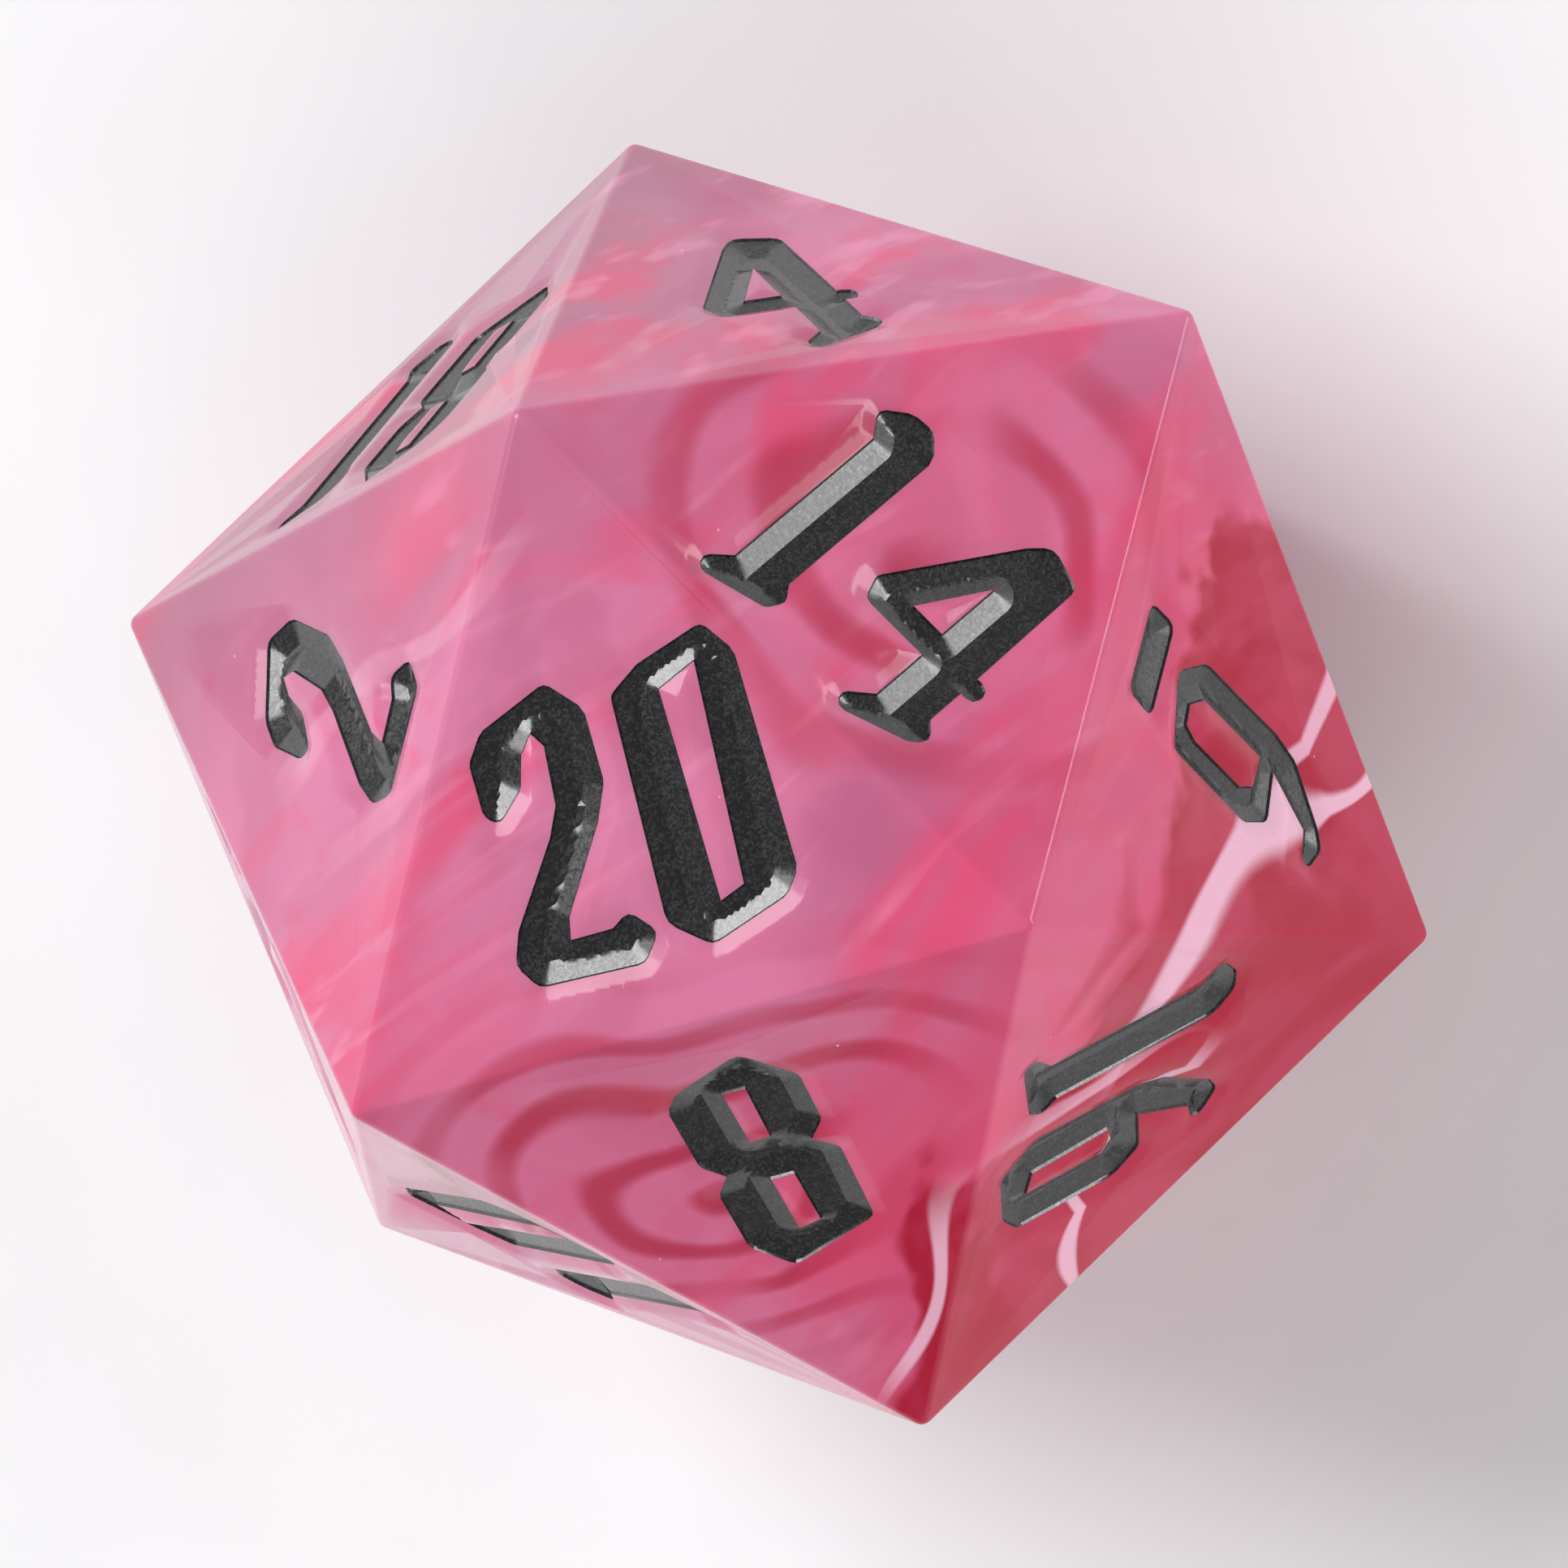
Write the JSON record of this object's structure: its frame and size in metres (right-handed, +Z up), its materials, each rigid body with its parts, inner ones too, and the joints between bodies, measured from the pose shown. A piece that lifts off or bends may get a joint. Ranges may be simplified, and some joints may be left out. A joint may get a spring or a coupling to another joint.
{
  "type": "polyhedral die",
  "caption": "Icosahedral gaming die in marbled translucent resin, with a blackletter numeral engraved and paint-filled on each triangular face.",
  "frame": {"origin": "middle of the face that the die rests on, which is the one numbered 1", "axes": "+Z up through the face numbered 20, which lies level on top; +Y towards the corner that the numeral 20 points to, along the die's longest extent"},
  "size_m": [0.0236, 0.027, 0.022],
  "materials": {
    "resin": "polished translucent resin, marbled mauve-pink, rose and crimson with pale ribbons",
    "numeral_paint": "glossy black paint with fine silver sparkle"
  },
  "bodies": {
    "root": {"body": "resin", "numeral_01": "numeral_paint", "numeral_02": "numeral_paint", "numeral_03": "numeral_paint", "numeral_04": "numeral_paint", "numeral_05": "numeral_paint", "numeral_06": "numeral_paint", "numeral_07": "numeral_paint", "numeral_08": "numeral_paint", "numeral_09": "numeral_paint", "numeral_10": "numeral_paint", "numeral_11": "numeral_paint", "numeral_12": "numeral_paint", "numeral_13": "numeral_paint", "numeral_14": "numeral_paint", "numeral_15": "numeral_paint", "numeral_16": "numeral_paint", "numeral_17": "numeral_paint", "numeral_18": "numeral_paint", "numeral_19": "numeral_paint", "numeral_20": "numeral_paint"}
  },
  "joints": []
}
